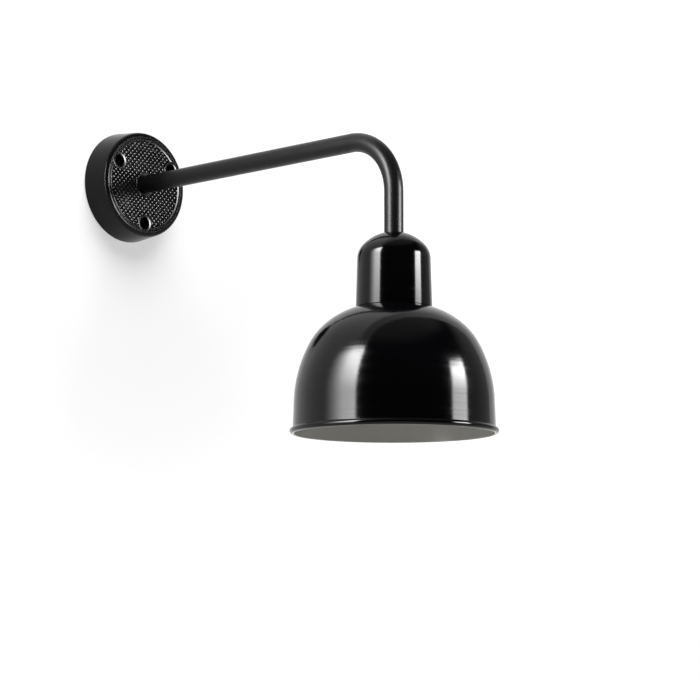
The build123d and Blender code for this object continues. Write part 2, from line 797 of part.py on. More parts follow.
with BuildPart() as screw_shell:
    with BuildSketch(lamp_section):
        Polygon((shell_mouth_r, z_core_ledge), (shell_r + shell_t, z_core_ledge),
                (shell_r + shell_t, z_shell_end), (shell_r, z_shell_end),
                (shell_r, z_core_ledge - shell_t), (shell_mouth_r, z_core_ledge - shell_t),
                align=None)
    revolve(axis=lamp_axis)
    with BuildSketch(lamp_plane(z_core_ledge)):
        with Locations((neutral_rivet_x, 0)):
            Circle(rivet_r)
    extrude(amount=-shell_t, mode=Mode.SUBTRACT)
finish(screw_shell, "screw_shell")

with BuildPart() as centre_contact:
    with BuildSketch(lamp_section):
        Polygon((-tongue_tail, z_core_ledge), (-tongue_knee, z_core_ledge),
                (-tongue_heel, z_tongue + tongue_t), (tongue_tip, z_tongue + tongue_t),
                (tongue_tip, z_tongue), (-tongue_heel - tongue_lean, z_tongue),
                (-tongue_knee - tongue_lean, z_core_ledge - tongue_t),
                (-tongue_tail, z_core_ledge - tongue_t), align=None)
    extrude(amount=tongue_w / 2, both=True)
    with BuildSketch(lamp_plane(z_core_ledge)):
        with Locations((live_rivet_x, 0)):
            Circle(rivet_r)
    extrude(amount=-tongue_t, mode=Mode.SUBTRACT)
finish(centre_contact, "centre_contact")

with BuildPart() as contact_rivets:
    for x, plate_t in ((live_rivet_x, tongue_t), (neutral_rivet_x, shell_t)):
        with BuildSketch(lamp_plane(z_core_top)):
            with Locations((x, 0)):
                Circle(rivet_r)
        extrude(amount=-core_t - plate_t)
        with BuildSketch(lamp_plane(z_core_ledge - plate_t)):
            with Locations((x, 0)):
                Circle(rivet_head_r)
        extrude(amount=-rivet_head_t)
finish(contact_rivets, "contact_rivets")

with BuildPart() as holder_terminals:
    with BuildSketch(lamp_plane(z_core_top)):
        with Locations((live_post_x, 0), (neutral_post_x, 0)):
            Rectangle(holder_post_w, holder_post_d)
    extrude(amount=holder_post_h)
    chamfer(holder_terminals.edges().group_by(Axis.Z)[-1], holder_post_edge)
    with BuildSketch(lamp_plane(z_post_top)):
        with Locations((live_post_x, 0), (neutral_post_x, 0)):
            Circle(wire_r)
    extrude(amount=-holder_post_h / 2, mode=Mode.SUBTRACT)
    with BuildSketch(post_face(y_post_face)):
        with Locations((live_post_x, 0), (neutral_post_x, 0)):
            Circle(post_screw_r)
    extrude(amount=-holder_post_d / 2 + wire_r, mode=Mode.SUBTRACT)
finish(holder_terminals, "holder_terminals")

with BuildPart() as holder_terminal_screws:
    with BuildSketch(post_face(y_post_face)):
        with Locations((live_post_x, 0), (neutral_post_x, 0)):
            Circle(post_screw_r)
    extrude(amount=-holder_post_d / 2 + wire_r)
    with BuildSketch(post_face(y_post_face)):
        with Locations((live_post_x, 0), (neutral_post_x, 0)):
            Circle(post_screw_head_r)
    extrude(amount=post_screw_head_t)
    with BuildSketch(post_face(y_post_face - post_screw_head_t)):
        with Locations((live_post_x, 0), (neutral_post_x, 0)):
            Rectangle(2 * post_screw_head_r, post_slot_w)
    extrude(amount=-post_slot_d, mode=Mode.SUBTRACT)
finish(holder_terminal_screws, "holder_terminal_screws")

# ---------------------------------------------------------------- screw-in lamp

with BuildPart() as lamp_tip:
    with BuildSketch(lamp_plane(z_insulator)):
        Circle(lamp_tip_r)
    extrude(amount=lamp_tip_t)
    fillet(lamp_tip.edges().group_by(Axis.Z)[-1], lamp_tip_round)
finish(lamp_tip, "lamp_tip")

with BuildPart() as lamp_insulator:
    with BuildSketch(lamp_section):
        Polygon((0, z_insulator), (lamp_tip_r + insulator_lip, z_insulator),
                (lamp_cap_r - insulator_inset, z_cap_top), (0, z_cap_top), align=None)
    revolve(axis=lamp_axis)
finish(lamp_insulator, "lamp_insulator")

with BuildPart() as lamp_cap:
    with BuildSketch(lamp_plane(z_cap_end)):
        Circle(lamp_cap_r)
    extrude(amount=lamp_cap_l)
    fillet(lamp_cap.edges().group_by(Axis.Z)[-1], lamp_cap_round)
    with BuildSketch(lamp_plane(z_cap_end)):
        Circle(lamp_cap_r - lamp_cap_t)
    extrude(amount=lamp_cap_l - 2 * lamp_cap_t, mode=Mode.SUBTRACT)
finish(lamp_cap, "lamp_cap")


def bulb_outline(inset):
    """Lines of the bulb's half section, filled to the axis: a ball, a hollow curve and a neck."""
    ball_r = bulb_r - inset
    neck_r = bulb_neck_r - inset
    z_neck = z_cap_end - bulb_neck_l
    rise = z_neck - z_bulb
    hollow_r = (neck_r ** 2 + rise ** 2 - ball_r ** 2) / (2 * (ball_r - neck_r))
    join_angle = degrees(atan2(rise, neck_r + hollow_r))
    CenterArc((0, z_bulb), ball_r, -90, 90 + join_angle)
    CenterArc((neck_r + hollow_r, z_neck), hollow_r, 180 + join_angle, -join_angle)
    Polyline((neck_r, z_neck), (neck_r, z_cap_end), (0, z_cap_end), (0, z_bulb - ball_r))


with BuildPart() as lamp_glass:
    with BuildSketch(lamp_section):
        with BuildLine():
            bulb_outline(0)
        make_face()
    revolve(axis=lamp_axis)
    with BuildSketch(lamp_section):
        with BuildLine():
            bulb_outline(bulb_glass_t)
        make_face()
    revolve(axis=lamp_axis, mode=Mode.SUBTRACT)
finish(lamp_glass, "lamp_glass")
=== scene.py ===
"""Hanging pendant wall sconce: smooth surfaces, materials, lights and camera over its frame.

Metres, +Z up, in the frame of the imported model: the base's back is on the wall plane y = 0, the
arm runs out along -Y, and the lamp's axis is upright at y = -REACH.
"""

import json
import math

import bmesh
import bpy
from mathutils import Matrix, Vector


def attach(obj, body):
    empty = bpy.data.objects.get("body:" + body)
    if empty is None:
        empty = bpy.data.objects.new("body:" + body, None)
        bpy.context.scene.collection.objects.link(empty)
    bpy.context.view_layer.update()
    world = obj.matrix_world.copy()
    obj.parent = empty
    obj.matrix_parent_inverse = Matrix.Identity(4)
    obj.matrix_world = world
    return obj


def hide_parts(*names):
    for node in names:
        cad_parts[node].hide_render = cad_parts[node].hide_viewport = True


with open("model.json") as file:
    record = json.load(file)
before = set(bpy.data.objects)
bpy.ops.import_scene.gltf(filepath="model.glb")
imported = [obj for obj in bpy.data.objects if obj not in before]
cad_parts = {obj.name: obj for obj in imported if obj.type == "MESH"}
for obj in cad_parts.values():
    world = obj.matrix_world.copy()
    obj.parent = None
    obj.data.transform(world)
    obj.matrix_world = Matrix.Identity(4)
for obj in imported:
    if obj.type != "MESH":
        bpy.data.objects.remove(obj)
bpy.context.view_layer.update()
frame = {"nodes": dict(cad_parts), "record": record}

MM = 0.001

# ---------------------------------------------------------------- sizes, as in the source

REACH = 358.0 * MM
TUBE_R = 8.6 * MM
TUBE_BORE_R = 6.6 * MM
BEND_R = 51.6 * MM
ARM_THREAD_R = 8.0 * MM
Y_SHOULDER = -22.0 * MM
Y_ARM_END = -12.3 * MM

Y_RING = -28.2 * MM
Y_FLOOR = -27.0 * MM
FLOOR_R = 42.5 * MM
BOSS_R = 12.0 * MM
POST_R = 8.5 * MM
POST_PCR = 38.5 * MM
POST_SPOTS = [(POST_PCR * math.cos(math.radians(turn)), POST_PCR * math.sin(math.radians(turn)))
              for turn in (30.0, 150.0, 270.0)]
COUNTERBORE_R = 5.8 * MM

Z_SEAT = -88.6 * MM
Z_PLATE = -155.2 * MM
NECK_SHEET = 1.2 * MM
NECK_SEAT_R = 9.0 * MM
NECK_HOLE_R = 5.0 * MM
NECK_TOP_R = 37.8 * MM
NECK_CORNER_R = 18.0 * MM
NECK_UPPER_R = 32.5 * MM
NECK_LOWER_R = 33.7 * MM

SHADE_SHEET = 1.0 * MM
SHADE_HOLE_R = 19.7 * MM
SHOULDER_R = 33.8 * MM
SHOULDER_SLOPE = 16.7
# The bowl's side: each arc's radius, and its slope in degrees where it ends.
BOWL_ARCS = ((73.8 * MM, 41.4), (60.2 * MM, 62.2), (114.8 * MM, 87.9))
Z_BEAD = -264.1 * MM
BEAD_R = 2.6 * MM
BEAD_OFFSET = 0.1 * MM

BULB_R = 30.0 * MM
BULB_NECK_R = 14.0 * MM
BULB_NECK_L = 5.0 * MM
BULB_GLASS_T = 1.0 * MM
Z_BULB = -205.9 * MM
Z_CAP_END = -155.1 * MM

# ---------------------------------------------------------------- how finely it is drawn

ARM_SEGMENTS = 96
BEND_STEPS = 48
TURNED_SEGMENTS = 192
BULB_SEGMENTS = 96
FACE_SEGMENTS = 160
BOSS_SEGMENTS = 72
POST_SEGMENTS = 64

# An edge is drawn sharp where its faces turn by more than this.
SHARP_ANGLE = math.radians(32.0)
# Points as near as this are one.
WELD = 0.002 * MM


# ---------------------------------------------------------------- shader graphs

class Field:
    """A socket of a node tree, with arithmetic that adds Math nodes."""

    def __init__(self, graph, socket):
        self.graph = graph
        self.socket = socket

    def math(self, operation, first, second):
        """The result of a Math node on two values, of which one or both are fields."""
        return self.graph.node("ShaderNodeMath", inputs=(first, second), operation=operation)

    def __add__(self, other):
        return self.math("ADD", self, other)

    def __sub__(self, other):
        return self.math("SUBTRACT", self, other)

    def __rsub__(self, other):
        return self.math("SUBTRACT", other, self)

    def __mul__(self, other):
        return self.math("MULTIPLY", self, other)

    __radd__ = __add__
    __rmul__ = __mul__

    def ramp(self, low, high):
        """0 where this field is low and 1 where it is high, eased between them."""
        return self.graph.node("ShaderNodeMapRange", inputs=(self, low, high, 0.0, 1.0),
                               interpolation_type="SMOOTHSTEP")


class Graph:
    """The node tree of a material or of the world."""

    def __init__(self, owner):
        owner.use_nodes = True
        self.tree = owner.node_tree
        self.tree.nodes.clear()

    def put(self, value, socket):
        """Links a field to a socket, or sets a plain value on it."""
        if isinstance(value, Field):
            self.tree.links.new(value.socket, socket)
        else:
            socket.default_value = value

    def node(self, kind, inputs=(), output=0, **settings):
        """Adds a node, fills its inputs in order or by name, and returns one output as a field."""
        node = self.tree.nodes.new(kind)
        for key, value in settings.items():
            setattr(node, key, value)
        named = inputs.items() if isinstance(inputs, dict) else enumerate(inputs)
        for key, value in named:
            self.put(value, node.inputs[key])
        return Field(self, node.outputs[output])

    def place(self):
        """Where a point is in its object's own frame, which is the model's for all made here."""
        return self.node("ShaderNodeTexCoord", output="Object")

    def vector(self, operation, *inputs, output="Vector"):
        """One output of a Vector Math node."""
        return self.node("ShaderNodeVectorMath", inputs=inputs, output=output,
                         operation=operation)

    def noise(self, vector, scale, detail=2.0, roughness=0.5):
        """A noise of 0 to 1 with so many features to the metre."""
        return self.node("ShaderNodeTexNoise",
                         inputs={"Vector": vector, "Scale": scale, "Detail": detail,
                                 "Roughness": roughness})

    def mix(self, factor, low, high):
        """A colour between two."""
        return self.node("ShaderNodeMix", inputs={0: factor, 6: low, 7: high}, output=2,
                         data_type="RGBA")

    def bump(self, height, distance, normal=None):
        """A normal tilted by a height field that is 1 at this distance above the surface."""
        inputs = {"Height": height, "Distance": distance, "Strength": 1.0}
        if normal is not None:
            inputs["Normal"] = normal
        return self.node("ShaderNodeBump", inputs=inputs)

    def light_path(self, name):
        """One of the Light Path's answers."""
        return self.node("ShaderNodeLightPath", output=name)

    def end(self, surface, kind="ShaderNodeOutputMaterial"):
        """Ends the tree with this surface shader."""
        self.put(surface, self.tree.nodes.new(kind).inputs["Surface"])


def rgba(colour):
    """A colour with its alpha."""
    return (*colour, 1.0)


# ---------------------------------------------------------------- materials

CLOUD_SHARE = 0.6
GRAIN_SHARE = 0.4


def plain_finish(name, colour, shade, roughness, grain=900.0, bump=0.02 * MM, cloud=60.0,
                 metallic=0.0, specular=0.5):
    """A finish with a little cloud in its colour and roughness and a fine grain in its surface.

    roughness is (low, high), shade the darker colour of the cloud, grain and cloud the features
    to the metre, and bump the grain's height.
    """
    material = bpy.data.materials.new(name)
    graph = Graph(material)
    place = graph.place()
    clouds = graph.noise(place, cloud, detail=3.0, roughness=0.6)
    fine = graph.noise(place, grain, detail=2.0, roughness=0.55)
    low, high = roughness
    inputs = {"Base Color": graph.mix(clouds, rgba(shade), rgba(colour)),
              "Roughness": (clouds * CLOUD_SHARE + fine * GRAIN_SHARE) * (high - low) + low,
              "Normal": graph.bump(fine, bump),
              "Metallic": metallic,
              "Specular IOR Level": specular}
    graph.end(graph.node("ShaderNodeBsdfPrincipled", inputs=inputs))
    return material


COAT_BLACK = (0.0045, 0.0045, 0.005)
COAT_SHADE = (0.003, 0.003, 0.0034)


def powder_coat(name, roughness, specular):
    """Black powder coat, as glossy and as bright in its reflections as its part needs."""
    return plain_finish(name, COAT_BLACK, COAT_SHADE, roughness, grain=1500.0, bump=0.01 * MM,
                        specular=specular)


ENAMEL_BLACK = (0.0018, 0.0018, 0.0024)
ENAMEL_SHADE = (0.001, 0.001, 0.0014)
ENAMEL_ROUGHNESS = (0.085, 0.12)
ENAMEL_SPECULAR = 0.17
ENAMEL_CLOUD = 30.0
# Features to the metre of the tool's rings, across the lamp's axis and along it.
RING_SCALE = (6.0, 6.0, 420.0)
# The part of the rings' noise over which the enamel gets duller, and by how much.
GROOVE_BAND = (0.45, 0.7)
GROOVE_DULL = 0.045
PEEL_SCALE = 260.0
PEEL_SHARE = 0.15


def spun_gloss(name, ripple):
    """Black gloss enamel on spun sheet: level rings from the tool, and a faint orange peel.

    ripple is the height of the rings.
    """
    material = bpy.data.materials.new(name)
    graph = Graph(material)
    place = graph.place()
    rings = graph.noise(graph.vector("MULTIPLY", place, RING_SCALE), 1.0,
                        detail=3.0, roughness=0.6)
    peel = graph.noise(place, PEEL_SCALE)
    clouds = graph.noise(place, ENAMEL_CLOUD, detail=3.0, roughness=0.6)
    low, high = ENAMEL_ROUGHNESS
    ringed = graph.bump(rings, ripple)
    inputs = {"Base Color": graph.mix(clouds, rgba(ENAMEL_SHADE), rgba(ENAMEL_BLACK)),
              "Roughness": clouds * (high - low) + rings.ramp(*GROOVE_BAND) * GROOVE_DULL + low,
              "Specular IOR Level": ENAMEL_SPECULAR,
              "Normal": graph.bump(peel, PEEL_SHARE * ripple, normal=ringed)}
    graph.end(graph.node("ShaderNodeBsdfPrincipled", inputs=inputs))
    return material


# Each row: the slot, its colour, the darker colour of its cloud, and its roughness.
METALS = (
    ("zinc_steel", (0.62, 0.63, 0.64), (0.48, 0.49, 0.50), (0.28, 0.42)),
    ("brass", (0.80, 0.60, 0.28), (0.62, 0.44, 0.19), (0.22, 0.36)),
    ("nickel_brass", (0.72, 0.68, 0.60), (0.60, 0.56, 0.48), (0.2, 0.32)),
    ("tinned_copper", (0.70, 0.70, 0.70), (0.55, 0.54, 0.53), (0.3, 0.45)),
    ("lamp_cap_metal", (0.78, 0.78, 0.77), (0.62, 0.62, 0.61), (0.2, 0.34)),
)
NON_METALS = (
    ("black_plastic", (0.018, 0.018, 0.018), (0.012, 0.012, 0.012), (0.38, 0.5)),
    ("natural_nylon", (0.80, 0.77, 0.68), (0.72, 0.69, 0.60), (0.35, 0.5)),
    ("white_phenolic", (0.78, 0.77, 0.74), (0.70, 0.69, 0.66), (0.22, 0.34)),
    ("black_glass", (0.02, 0.014, 0.02), (0.01, 0.008, 0.012), (0.08, 0.16)),
    ("brown_insulation", (0.16, 0.07, 0.035), (0.11, 0.05, 0.025), (0.4, 0.52)),
    ("blue_insulation", (0.04, 0.16, 0.42), (0.03, 0.12, 0.34), (0.4, 0.52)),
    ("green_yellow_insulation", (0.20, 0.45, 0.06), (0.14, 0.36, 0.05), (0.4, 0.52)),
)
SMOOTH_BUMP = 0.004 * MM

FINISHES = {name: plain_finish(name, *look, metallic=1.0) for name, *look in METALS}
FINISHES.update({name: plain_finish(name, *look) for name, *look in NON_METALS})
FINISHES.update({
    "black_powder_coat": powder_coat("black_powder_coat", (0.18, 0.24), specular=0.14),
    "black_gloss_enamel": spun_gloss("black_gloss_enamel", ripple=0.05 * MM),
    "shade_enamel": spun_gloss("shade_enamel", ripple=0.07 * MM),
    "solder": plain_finish("solder", (0.55, 0.56, 0.58), (0.38, 0.39, 0.41), (0.3, 0.5),
                           grain=500.0, bump=0.08 * MM, metallic=1.0),
    "porcelain": plain_finish("porcelain", (0.80, 0.79, 0.76), (0.72, 0.71, 0.68), (0.3, 0.5),
                              grain=1800.0),
    "opal_glass": plain_finish("opal_glass", (0.86, 0.85, 0.82), (0.82, 0.81, 0.78),
                               (0.12, 0.2), bump=SMOOTH_BUMP),
})
ARM_COAT = powder_coat("arm_coat", (0.31, 0.37), specular=0.19)
KNURL_COAT = powder_coat("knurl_coat", (0.16, 0.2), specular=0.3)
INSIDE_ENAMEL = plain_finish("inside_enamel", (0.74, 0.73, 0.69), (0.68, 0.67, 0.63),
                             (0.12, 0.2), grain=260.0, bump=SMOOTH_BUMP, cloud=25.0)

for part in frame["record"]["subparts"]:
    node = frame["nodes"][part["node"]]
    for slot in node.material_slots:
        slot.material = FINISHES[part["material_slot"]]


# ---------------------------------------------------------------- shaping

def new_object(name, mesh):
    """Makes an object of a bmesh, which it uses up."""
    data = bpy.data.meshes.new(name)
    mesh.to_mesh(data)
    mesh.free()
    made = bpy.data.objects.new(name, data)
    bpy.context.scene.collection.objects.link(made)
    return made


def piece(name, mesh, body, materials, replaces=()):
    """Makes an object of a bmesh, smooth but for its sharp edges, and hangs it on the frame."""
    bmesh.ops.remove_doubles(mesh, verts=mesh.verts, dist=WELD)
    bmesh.ops.recalc_face_normals(mesh, faces=mesh.faces)
    for face in mesh.faces:
        face.smooth = True
    for edge in mesh.edges:
        edge.smooth = len(edge.link_faces) == 2 and edge.calc_face_angle() < SHARP_ANGLE
    shown = new_object(name, mesh)
    for material in materials:
        shown.data.materials.append(material)
    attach(shown, body)
    if replaces:
        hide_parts(*replaces)


def arc(centre, radius, start, end, steps):
    """Points along an arc of a half section, between two angles in degrees."""
    turns = [math.radians(start + (end - start) * k / steps) for k in range(steps + 1)]
    return [(centre[0] + radius * math.cos(t), centre[1] + radius * math.sin(t)) for t in turns]


def spin_loop(mesh, points, centre, axis, segments):
    """Adds a closed loop of points, turned full circle about an axis."""
    verts = [mesh.verts.new(point) for point in points]
    loop = [mesh.edges.new((verts[k - 1], verts[k])) for k in range(len(verts))]
    bmesh.ops.spin(mesh, geom=verts + loop, cent=centre, axis=axis, angle=math.tau,
                   steps=segments, use_merge=True, use_duplicate=False)


def turned(outline, segments=TURNED_SEGMENTS):
    """A bmesh of the closed half section turned about the lamp's axis."""
    mesh = bmesh.new()
    points = [(radius, -REACH, height) for radius, height in outline]
    spin_loop(mesh, points, (0.0, -REACH, 0.0), (0.0, 0.0, 1.0), segments)
    return mesh


def extrude(mesh, edges):
    """Extrudes edges in place, and returns the new edges and their vertices."""
    grown = bmesh.ops.extrude_edge_only(mesh, edges=edges)["geom"]
    verts = [item for item in grown if isinstance(item, bmesh.types.BMVert)]
    far = [item for item in grown if isinstance(item, bmesh.types.BMEdge)
           and all(vert in verts for vert in item.verts)]
    return far, verts


# Turns +Z to the room side, -Y.
FACING_ROOM = Matrix.Rotation(math.pi / 2.0, 4, "X")
# A point this near a plane is on it.
NEAR = 0.1 * MM


# ---------------------------------------------------------------- arm

def tube_skin(mesh, radius, y_start):
    """Adds one skin of the arm: straight out from y_start, round the bend, down to the neck.

    Returns the loop of edges at the neck.
    """
    ring = bmesh.ops.create_circle(mesh, cap_ends=False, radius=radius, segments=ARM_SEGMENTS,
                                   matrix=Matrix.Translation((0.0, y_start, 0.0)) @ FACING_ROOM)
    edges = list({edge for vert in ring["verts"] for edge in vert.link_edges})
    edges, verts = extrude(mesh, edges)
    bmesh.ops.translate(mesh, vec=(0.0, BEND_R - REACH - y_start, 0.0), verts=verts)
    bend = bmesh.ops.spin(mesh, geom=edges, cent=(0.0, BEND_R - REACH, -BEND_R),
                          axis=(1.0, 0.0, 0.0), angle=math.pi / 2.0, steps=BEND_STEPS,
                          use_duplicate=False)
    edges = [item for item in bend["geom_last"] if isinstance(item, bmesh.types.BMEdge)]
    edges, verts = extrude(mesh, edges)
    bmesh.ops.translate(mesh, vec=(0.0, 0.0, Z_SEAT + BEND_R), verts=verts)
    return edges


THREAD_PITCH = 1.0 * MM
THREAD_DEPTH = 0.5 * MM
THREAD_TURNS = int((Y_ARM_END - Y_SHOULDER) / THREAD_PITCH)


def thread(mesh, loop):
    """Carries the shoulder's loop back to the arm's end as rings, high and low by turns."""
    for turn in range(2 * THREAD_TURNS + 2):
        loop, verts = extrude(mesh, loop)
        y_ring = min(Y_SHOULDER + max(turn - 1, 0) * THREAD_PITCH / 2.0, Y_ARM_END)
        radius = ARM_THREAD_R - (THREAD_DEPTH if turn % 2 else 0.0)
        for vert in verts:
            flat = Vector((vert.co.x, 0.0, vert.co.z)).normalized() * radius
            vert.co = (flat.x, y_ring, flat.z)
    return loop


arm = bmesh.new()
outer_end = tube_skin(arm, TUBE_R, Y_SHOULDER)
inner_end = tube_skin(arm, TUBE_BORE_R, Y_ARM_END)
bmesh.ops.bridge_loops(arm, edges=outer_end + inner_end)
open_ends = [edge for edge in arm.edges if edge.is_boundary]
shoulder_loop = [edge for edge in open_ends if abs(edge.verts[0].co.y - Y_SHOULDER) < NEAR]
bore_loop = [edge for edge in open_ends if edge not in shoulder_loop]
bmesh.ops.bridge_loops(arm, edges=thread(arm, shoulder_loop) + bore_loop)
piece("arm_skin", arm, "fixture", [ARM_COAT], ["arm_tube"])

# ---------------------------------------------------------------- knurled floor of the base

KNURL_PITCH = 3.75 * MM
KNURL_GAP = 0.5 * MM
# Steps of a pyramid's side from its foot to its soft top: how far in, and how far up.
KNURL_STEPS = ((0.35 * MM, 0.42 * MM), (0.25 * MM, 0.18 * MM), (0.45 * MM, 0.14 * MM),
               (0.4 * MM, 0.05 * MM))
KNURL_ROOT = 0.6 * MM
# The grid is laid out to this many times the floor's radius, and then cut round.
GRID_MARGIN = 1.05
# The pieces on the face reach this far into the walls round them, and keep this far off holes.
EDGE_GAP = 0.05 * MM
DRUM_DEPTH = 6.0 * MM


def knurl_grid():
    """A slab whose upper side is a square grid of soft-topped pyramids, laid at 45 degrees."""
    cells = 2 * math.ceil(FLOOR_R * GRID_MARGIN / KNURL_PITCH) + 1
    slab = bmesh.new()
    bmesh.ops.create_grid(slab, x_segments=cells, y_segments=cells,
                          size=cells * KNURL_PITCH / 2.0)
    tops = list(slab.faces)
    bmesh.ops.inset_individual(slab, faces=tops, thickness=KNURL_GAP / 2.0, depth=0.0)
    for inward, up in KNURL_STEPS:
        bmesh.ops.inset_individual(slab, faces=tops, thickness=inward, depth=up)
    low, verts = extrude(slab, [edge for edge in slab.edges if edge.is_boundary])
    bmesh.ops.translate(slab, vec=(0.0, 0.0, -KNURL_ROOT), verts=verts)
    bmesh.ops.holes_fill(slab, edges=low, sides=0)
    upright = Matrix.Translation((0.0, Y_FLOOR, 0.0)) @ FACING_ROOM
    bmesh.ops.transform(slab, matrix=upright @ Matrix.Rotation(math.pi / 4.0, 4, "Z"),
                        verts=slab.verts)
    bmesh.ops.recalc_face_normals(slab, faces=slab.faces)
    return slab


def add_drum(mesh, radius, x, z, segments):
    """Adds a closed drum across the base's floor, to cut with."""
    bmesh.ops.create_cone(mesh, cap_ends=True, segments=segments, radius1=radius, radius2=radius,
                          depth=DRUM_DEPTH,
                          matrix=Matrix.Translation((x, Y_FLOOR, z)) @ FACING_ROOM)


def floor_drum():
    """A drum over the whole floor."""
    drum = bmesh.new()
    add_drum(drum, FLOOR_R + EDGE_GAP, 0.0, 0.0, FACE_SEGMENTS)
    return drum


def standing_drums():
    """Drums where the boss and the posts stand out of the floor."""
    drums = bmesh.new()
    add_drum(drums, BOSS_R - EDGE_GAP, 0.0, 0.0, POST_SEGMENTS)
    for x, z in POST_SPOTS:
        add_drum(drums, POST_R - EDGE_GAP, x, z, POST_SEGMENTS)
    return drums


def cut(mesh, cutter, operation):
    """The bmesh left by a boolean of one closed bmesh with another. It uses both up."""
    blank = new_object("blank", mesh)
    tool = new_object("tool", cutter)
    modifier = blank.modifiers.new("cut", "BOOLEAN")
    modifier.operation = operation
    modifier.solver = "EXACT"
    modifier.object = tool
    bpy.context.view_layer.update()
    result = bmesh.new()
    result.from_object(blank, bpy.context.evaluated_depsgraph_get())
    bpy.data.objects.remove(blank)
    bpy.data.objects.remove(tool)
    return result


knurl = cut(knurl_grid(), floor_drum(), "INTERSECT")
knurl = cut(knurl, standing_drums(), "DIFFERENCE")
piece("base_knurl", knurl, "fixture", [KNURL_COAT])

# ---------------------------------------------------------------- collars of the base's face

RING_COLLAR_R = 44.6 * MM
COLLAR_RISE = 0.45 * MM
COLLAR_ROUND = 0.3 * MM
COLLAR_ROOT = 0.3 * MM


def add_collar(mesh, inner_r, outer_r, x, z, segments):
    """Adds a ring on the stepped face, its top dished in and its outer edge eased."""
    outline = [(inner_r, 0.0), (outer_r - 1.5 * COLLAR_ROUND, COLLAR_RISE),
               (outer_r - 0.5 * COLLAR_ROUND, COLLAR_RISE - 0.2 * COLLAR_ROUND),
               (outer_r, COLLAR_RISE - COLLAR_ROUND), (outer_r, -COLLAR_ROOT),
               (inner_r, -COLLAR_ROOT)]
    points = [(x + radius, Y_RING - out, z) for radius, out in outline]
    spin_loop(mesh, points, (x, Y_RING, z), (0.0, 1.0, 0.0), segments)
    bmesh.ops.recalc_face_normals(mesh, faces=mesh.faces)


ring_collar = bmesh.new()
add_collar(ring_collar, FLOOR_R, RING_COLLAR_R, 0.0, 0.0, FACE_SEGMENTS)
collars = cut(ring_collar, standing_drums(), "DIFFERENCE")
add_collar(collars, TUBE_R + EDGE_GAP, BOSS_R, 0.0, 0.0, BOSS_SEGMENTS)
for x, z in POST_SPOTS:
    add_collar(collars, COUNTERBORE_R + EDGE_GAP, POST_R, x, z, POST_SEGMENTS)
piece("base_collars", collars, "fixture", [KNURL_COAT])


# ---------------------------------------------------------------- neck

def neck_side(inset):
    """Points of the neck's face from its flat seat to its lower edge, this far inside it."""
    top_r = NECK_TOP_R - inset
    corner_r = NECK_CORNER_R - inset
    top_z = Z_SEAT - math.sqrt(NECK_TOP_R ** 2 - NECK_SEAT_R ** 2)
    corner_x = NECK_UPPER_R - NECK_CORNER_R
    corner_z = top_z + math.sqrt((NECK_TOP_R - NECK_CORNER_R) ** 2 - corner_x ** 2)
    seat_rise = Z_SEAT - inset - top_z
    seat_turn = math.degrees(math.atan2(seat_rise, math.sqrt(top_r ** 2 - seat_rise ** 2)))
    join_turn = math.degrees(math.atan2(corner_z - top_z, corner_x))
    side_turn = math.degrees(math.atan2(NECK_LOWER_R - NECK_UPPER_R, corner_z - Z_PLATE))
    return (arc((0.0, top_z), top_r, seat_turn, join_turn, steps=16)
            + arc((corner_x, corner_z), corner_r, join_turn, side_turn, steps=24)[1:])


edge_round = NECK_SHEET / 2.0
rounded_edge = arc((NECK_LOWER_R - edge_round, Z_PLATE + edge_round), edge_round, 0.0, -180.0,
                   steps=10)
neck = turned([(NECK_HOLE_R, Z_SEAT)] + neck_side(0.0) + rounded_edge
              + neck_side(NECK_SHEET)[::-1] + [(NECK_HOLE_R, Z_SEAT - NECK_SHEET)])
piece("neck_skin", neck, "fixture", [FINISHES["black_gloss_enamel"]],
      ["neck_cap"])

# ---------------------------------------------------------------- shade

WALL_SLOPE = math.radians(BOWL_ARCS[-1][1])
CREASE_R = 0.8 * MM
# A small share of the normal's rise, which settles the side of the flat top's level faces.
RISE_SHARE = 0.02


def bowl_side(inset):
    """Points of the bowl's side from its flat top to its straight last stretch, inside its face."""
    slope = math.radians(SHOULDER_SLOPE)
    at = Vector((SHOULDER_R - inset * math.sin(slope), Z_PLATE - inset * math.cos(slope)))
    points = [tuple(at)]
    for radius, end in BOWL_ARCS:
        tight = radius - inset
        middle = at - tight * Vector((math.sin(slope), math.cos(slope)))
        turn = 90.0 - math.degrees(slope)
        points += arc(tuple(middle), tight, turn, 90.0 - end, steps=28)[1:]
        at = Vector(points[-1])
        slope = math.radians(end)
    return points


def wall_radius(side, height):
    """The radius of the straight last stretch under these points, at a height."""
    radius, start = side[-1]
    return radius + (start - height) / math.tan(WALL_SLOPE)


outer = bowl_side(0.0)
inner = bowl_side(SHADE_SHEET)
bead_x = wall_radius(outer, Z_BEAD) + BEAD_OFFSET
crease_x = wall_radius(outer, Z_BEAD + BEAD_R) + CREASE_R
crease_rise = math.sqrt((BEAD_R + CREASE_R) ** 2 - (crease_x - bead_x) ** 2)
crease_turn = math.degrees(math.atan2(crease_rise, crease_x - bead_x))
inner_x = wall_radius(inner, Z_BEAD + BEAD_R)
inner_turn = math.degrees(math.acos((inner_x - bead_x) / BEAD_R))
shade = turned(
    [(SHADE_HOLE_R, Z_PLATE)] + outer
    + arc((crease_x, Z_BEAD + crease_rise), CREASE_R, 180.0, 180.0 + crease_turn, steps=8)
    + arc((bead_x, Z_BEAD), BEAD_R, crease_turn, -inner_turn, steps=40)[1:]
    + inner[::-1] + [(SHADE_HOLE_R, Z_PLATE - SHADE_SHEET)])
bmesh.ops.recalc_face_normals(shade, faces=shade.faces)
for face in shade.faces:
    middle = face.calc_center_median()
    outward = Vector((middle.x, middle.y + REACH, 0.0)).normalized()
    faces_out = face.normal.dot(outward) + RISE_SHARE * face.normal.z
    face.material_index = 0 if faces_out > 0.0 else 1
